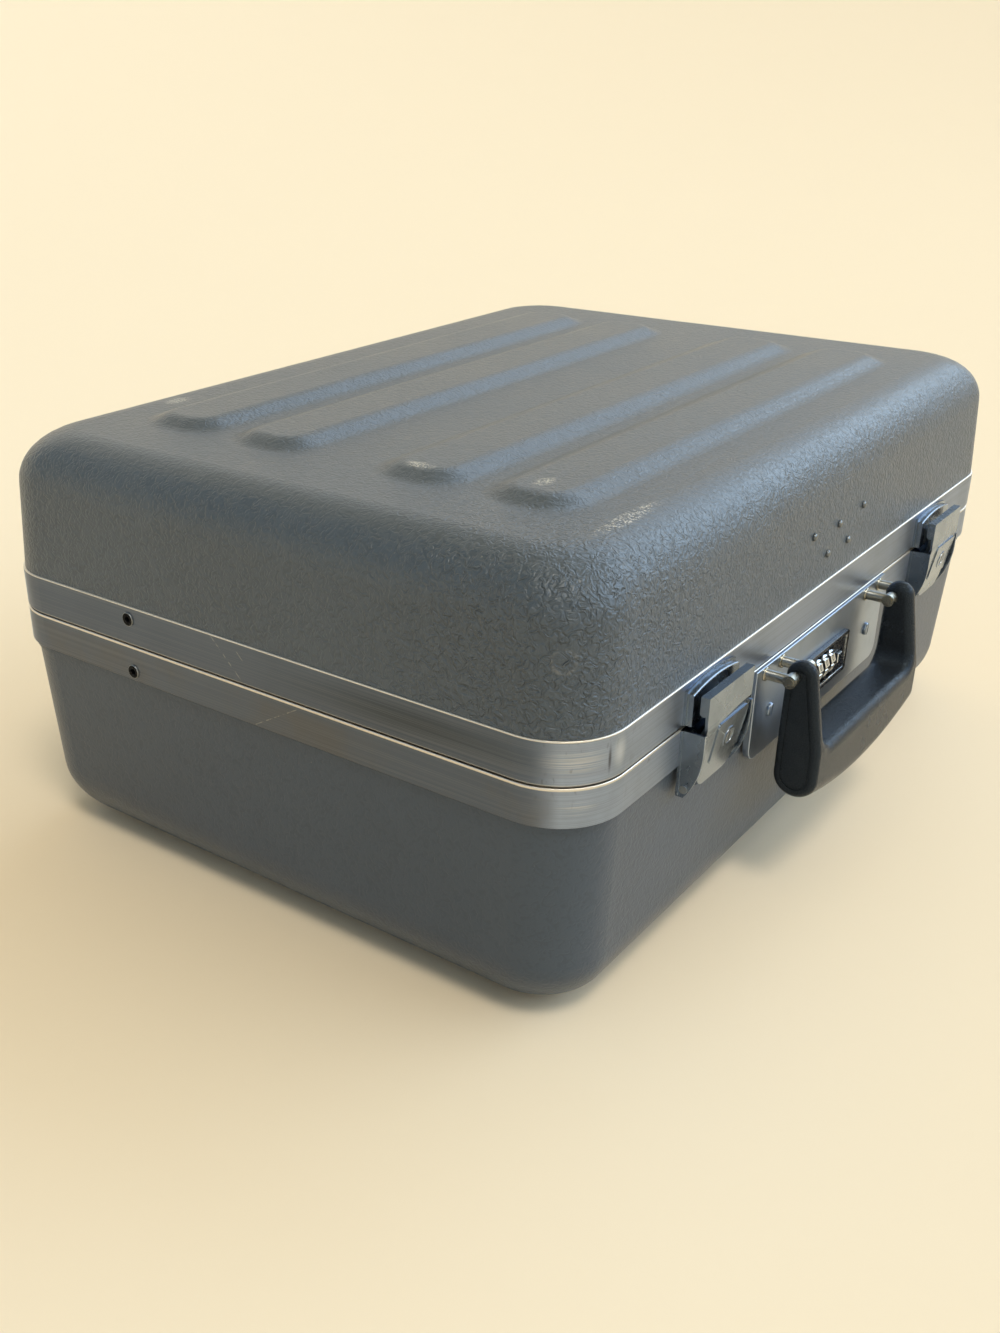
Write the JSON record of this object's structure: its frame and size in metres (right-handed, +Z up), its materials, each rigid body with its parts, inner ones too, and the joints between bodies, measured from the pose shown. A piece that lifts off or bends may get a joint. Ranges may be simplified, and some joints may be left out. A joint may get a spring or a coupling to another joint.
{
  "type": "typewriter case",
  "caption": "Hard-sided portable typewriter case with ribbed hinged lid, aluminium seam frames, snap latches, combination lock and carrying handle.",
  "frame": {"origin": "underside of the base, under the middle of the shells", "axes": "+X right along the handle side, -Y towards the handle side, +Y towards the hinges, +Z up"},
  "size_m": [0.4514, 0.3635, 0.204],
  "materials": {
    "shell": "fine grain, satin",
    "frame": "brushed",
    "steel": "satin",
    "latch": "polished, worn",
    "plate": "satin nickel",
    "black": "gloss",
    "dial": "worn",
    "handle": "fine grain, satin",
    "brass": "worn plating"
  },
  "bodies": {
    "base": {"base_shell": "shell", "base_frame": "frame", "hinge_leaf_base_left": "steel", "hinge_leaf_base_right": "steel", "hinge_pins": "steel", "hinge_rivets_base": "frame", "stay_rivets_base": "steel", "latch_housing_left": "latch", "latch_housing_right": "latch", "latch_lever_pins": "steel", "latch_rivets": "steel", "lock_plate": "plate", "lock_plate_screws": "plate", "lock_plate_nuts": "steel", "handle_posts": "brass", "handle_pins": "brass", "lock_bezel": "black", "lock_case": "steel", "dial_axle": "steel"},
    "lid": {"lid_shell": "shell", "lid_frame": "frame", "hinge_leaf_lid_left": "steel", "hinge_leaf_lid_right": "steel", "hinge_rivets_lid": "frame", "latch_strike_left": "latch", "latch_strike_right": "latch", "strike_rivets": "steel", "badge_studs": "steel", "stay_rivets_lid": "steel"},
    "stay_lower_left": {"stay_lower_left": "steel", "stay_elbow_pin_left": "steel"},
    "stay_upper_left": {"stay_upper_left": "steel"},
    "latch_lever_left": {"latch_lever_left": "latch", "latch_claw_pin_left": "steel"},
    "latch_claw_left": {"latch_claw_left": "steel"},
    "key_plug_left": {"key_plug_left": "steel"},
    "stay_lower_right": {"stay_lower_right": "steel", "stay_elbow_pin_right": "steel"},
    "stay_upper_right": {"stay_upper_right": "steel"},
    "latch_lever_right": {"latch_lever_right": "latch", "latch_claw_pin_right": "steel"},
    "latch_claw_right": {"latch_claw_right": "steel"},
    "key_plug_right": {"key_plug_right": "steel"},
    "lock_dial_1": {"lock_dial_1": "dial"},
    "lock_dial_2": {"lock_dial_2": "dial"},
    "lock_dial_3": {"lock_dial_3": "dial"},
    "lock_button": {"lock_button": "dial"},
    "handle": {"handle_grip": "handle", "handle_bushings": "brass"}
  },
  "joints": [
    {"name": "lid_hinge", "type": "hinge", "parent": "base", "child": "lid", "pos_m": [0, 0.1676, 0.117], "axis": [-1, 0, 0], "range_deg": [0, 100]},
    {"name": "stay_lower_left_pivot", "type": "hinge", "parent": "base", "child": "stay_lower_left", "pos_m": [-0.2168, 0.072, 0.1042], "axis": [-1, 0, 0], "range_deg": [0, 100]},
    {"name": "stay_upper_left_pivot", "type": "hinge", "parent": "lid", "child": "stay_upper_left", "pos_m": [-0.2168, 0.072, 0.1298], "axis": [-1, 0, 0], "range_deg": [-100, 0]},
    {"name": "stay_lower_right_pivot", "type": "hinge", "parent": "base", "child": "stay_lower_right", "pos_m": [0.2168, 0.072, 0.1042], "axis": [-1, 0, 0], "range_deg": [0, 100]},
    {"name": "stay_upper_right_pivot", "type": "hinge", "parent": "lid", "child": "stay_upper_right", "pos_m": [0.2168, 0.072, 0.1298], "axis": [-1, 0, 0], "range_deg": [-100, 0]},
    {"name": "latch_left_pivot", "type": "hinge", "parent": "base", "child": "latch_lever_left", "pos_m": [-0.129, -0.1674, 0.0904], "axis": [1, 0, 0], "range_deg": [0, 80]},
    {"name": "claw_left_pivot", "type": "hinge", "parent": "latch_lever_left", "child": "latch_claw_left", "pos_m": [-0.129, -0.1671, 0.0956], "axis": [1, 0, 0], "range_deg": [-48, 0]},
    {"name": "key_plug_left_turn", "type": "hinge", "parent": "latch_lever_left", "child": "key_plug_left", "pos_m": [-0.1242, -0.17284, 0.1055], "axis": [0, 0.9865, 0.1639], "range_deg": [0, 90]},
    {"name": "latch_right_pivot", "type": "hinge", "parent": "base", "child": "latch_lever_right", "pos_m": [0.129, -0.1674, 0.0904], "axis": [1, 0, 0], "range_deg": [0, 80]},
    {"name": "claw_right_pivot", "type": "hinge", "parent": "latch_lever_right", "child": "latch_claw_right", "pos_m": [0.129, -0.1671, 0.0956], "axis": [1, 0, 0], "range_deg": [-48, 0]},
    {"name": "key_plug_right_turn", "type": "hinge", "parent": "latch_lever_right", "child": "key_plug_right", "pos_m": [0.1338, -0.17284, 0.1055], "axis": [0, 0.9865, 0.1639], "range_deg": [0, 90]},
    {"name": "lock_dial_1_turn", "type": "hinge", "parent": "base", "child": "lock_dial_1", "pos_m": [-0.0158, -0.161, 0.092], "axis": [1, 0, 0], "continuous": true},
    {"name": "lock_dial_2_turn", "type": "hinge", "parent": "base", "child": "lock_dial_2", "pos_m": [-0.0085, -0.161, 0.092], "axis": [1, 0, 0], "continuous": true},
    {"name": "lock_dial_3_turn", "type": "hinge", "parent": "base", "child": "lock_dial_3", "pos_m": [-0.0012, -0.161, 0.092], "axis": [1, 0, 0], "continuous": true},
    {"name": "lock_button_slide", "type": "slide", "parent": "base", "child": "lock_button", "axis": [1, 0, 0], "range_m": [0, 0.0034], "stiffness_N_per_m": 150, "springref_m": -0.002},
    {"name": "handle_swing", "type": "hinge", "parent": "base", "child": "handle", "pos_m": [-0.0085, -0.1775, 0.113], "axis": [-1, 0, 0], "range_deg": [0, 165]}
  ],
  "couplings": [
    {"joint": "stay_lower_left_pivot", "follows": "lid_hinge", "ratio": 1},
    {"joint": "stay_upper_left_pivot", "follows": "lid_hinge", "ratio": -1},
    {"joint": "stay_lower_right_pivot", "follows": "lid_hinge", "ratio": 1},
    {"joint": "stay_upper_right_pivot", "follows": "lid_hinge", "ratio": -1},
    {"joint": "claw_left_pivot", "follows": "latch_left_pivot", "ratio": -0.6},
    {"joint": "claw_right_pivot", "follows": "latch_right_pivot", "ratio": -0.6}
  ]
}
